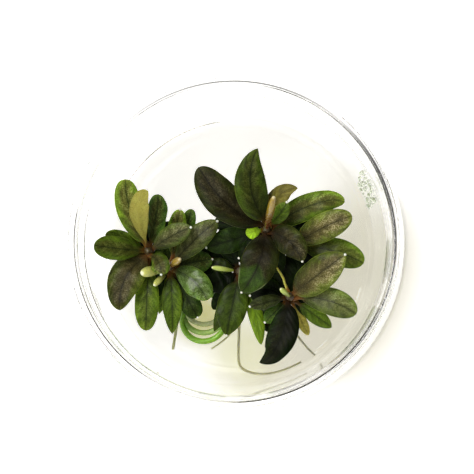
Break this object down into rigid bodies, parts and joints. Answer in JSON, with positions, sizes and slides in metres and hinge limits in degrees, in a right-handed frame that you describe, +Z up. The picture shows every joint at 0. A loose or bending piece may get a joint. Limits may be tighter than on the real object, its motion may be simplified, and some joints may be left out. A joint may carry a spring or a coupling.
{
  "type": "bucephalandra plantlets in a clear culture cup",
  "caption": "Small dark-leaved aquatic plantlets rooted in clear gel at the foot of an open round clear plastic cup with a flared rim skirt.",
  "frame": {"origin": "centre of the cup's foot ring, on the surface that it stands on", "axes": "+X is the picture's right, +Y its top, +Z up along the cup's axis"},
  "size_m": [0.1048, 0.1048, 0.06],
  "materials": {
    "cup_plastic": "clear, glossy",
    "gel": "clear, wet",
    "rhizome": "satin, living",
    "leaf_green": "satin, living",
    "leaf_dark": "satin, living",
    "leaf_brown": "satin, living",
    "leaf_grey": "satin, living",
    "leaf_gloss": "glossy, living",
    "leaf_olive": "satin, living",
    "leaf_lime": "satin, living",
    "leaf_tan": "satin, living",
    "leaf_pale": "glossy, living"
  },
  "bodies": {
    "root": {"cup": "cup_plastic", "gel": "gel", "leaf_a1": "leaf_green", "leaf_a2": "leaf_olive", "leaf_a3": "leaf_dark", "leaf_a4": "leaf_grey", "leaf_a5": "leaf_green", "leaf_a6": "leaf_green", "leaf_a7": "leaf_brown", "leaf_a8": "leaf_green", "leaf_a9": "leaf_green", "leaf_b1": "leaf_grey", "leaf_b2": "leaf_green", "leaf_b3": "leaf_dark", "leaf_b4": "leaf_dark", "leaf_b5": "leaf_gloss", "leaf_b6": "leaf_dark", "leaf_b7": "leaf_green", "leaf_b8": "leaf_green", "leaf_b9": "leaf_dark", "leaf_c1": "leaf_brown", "leaf_c10": "leaf_lime", "leaf_c2": "leaf_green", "leaf_c3": "leaf_olive", "leaf_c4": "leaf_green", "leaf_c5": "leaf_green", "leaf_c6": "leaf_brown", "leaf_c7": "leaf_brown", "leaf_c8": "leaf_dark", "leaf_c9": "leaf_dark", "leaf_d1": "leaf_brown", "leaf_d2": "leaf_grey", "leaf_d3": "leaf_green", "leaf_d4": "leaf_dark", "leaf_d5": "leaf_grey", "leaf_d6": "leaf_dark", "leaf_d7": "leaf_dark", "leaf_d8": "leaf_olive", "leaf_e1": "leaf_brown", "leaf_e2": "leaf_green", "leaf_e3": "leaf_dark", "leaf_e4": "leaf_dark", "leaf_m1": "leaf_green", "leaf_m2": "leaf_dark", "leaf_m3": "leaf_green", "leaf_m4": "leaf_green", "leaf_m5": "leaf_lime", "leaf_m6": "leaf_dark", "rhizome_a": "rhizome", "rhizome_b": "rhizome", "rhizome_c": "rhizome", "rhizome_d": "rhizome", "rhizome_e": "rhizome", "rhizome_m": "rhizome", "young_leaf_b1": "leaf_tan", "young_leaf_b2": "leaf_pale", "young_leaf_b3": "leaf_pale", "young_leaf_c1": "leaf_tan", "young_leaf_d1": "leaf_lime", "young_leaf_m1": "leaf_lime"}
  },
  "joints": []
}
